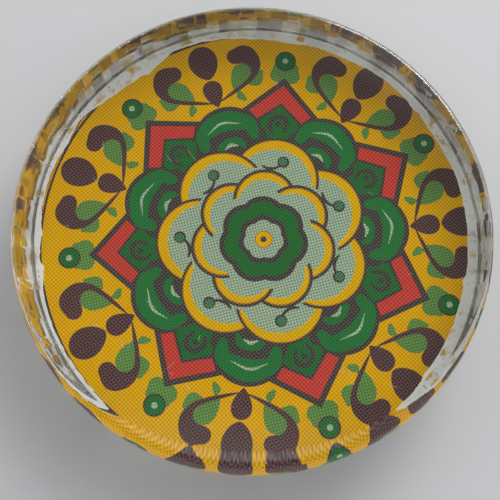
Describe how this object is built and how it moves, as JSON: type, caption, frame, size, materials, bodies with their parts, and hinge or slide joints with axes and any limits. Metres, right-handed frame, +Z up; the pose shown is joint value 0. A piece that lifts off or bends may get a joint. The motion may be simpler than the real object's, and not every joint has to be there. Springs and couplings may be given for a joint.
{
  "type": "printed glass tile",
  "caption": "Round clear glass tile with a softly rounded top edge and a hand-cut floral paper print glued face up beneath it.",
  "frame": {"origin": "middle of the underside, on the surface the tile lies on", "axes": "+Z up through the disc, square to its flat faces; +Y towards the top of the ornament"},
  "size_m": [0.025, 0.025, 0.0043],
  "materials": {
    "clear_glass": "polished, colourless, with light handling scratches",
    "clear_glue": "clear dried glue film",
    "printed_paper": "four-colour screen print of a seven-fold floral ornament on thin paper"
  },
  "bodies": {
    "root": {"glass_disc": "clear_glass", "clear_glue_film": "clear_glue", "paper_print": "printed_paper"}
  },
  "joints": []
}
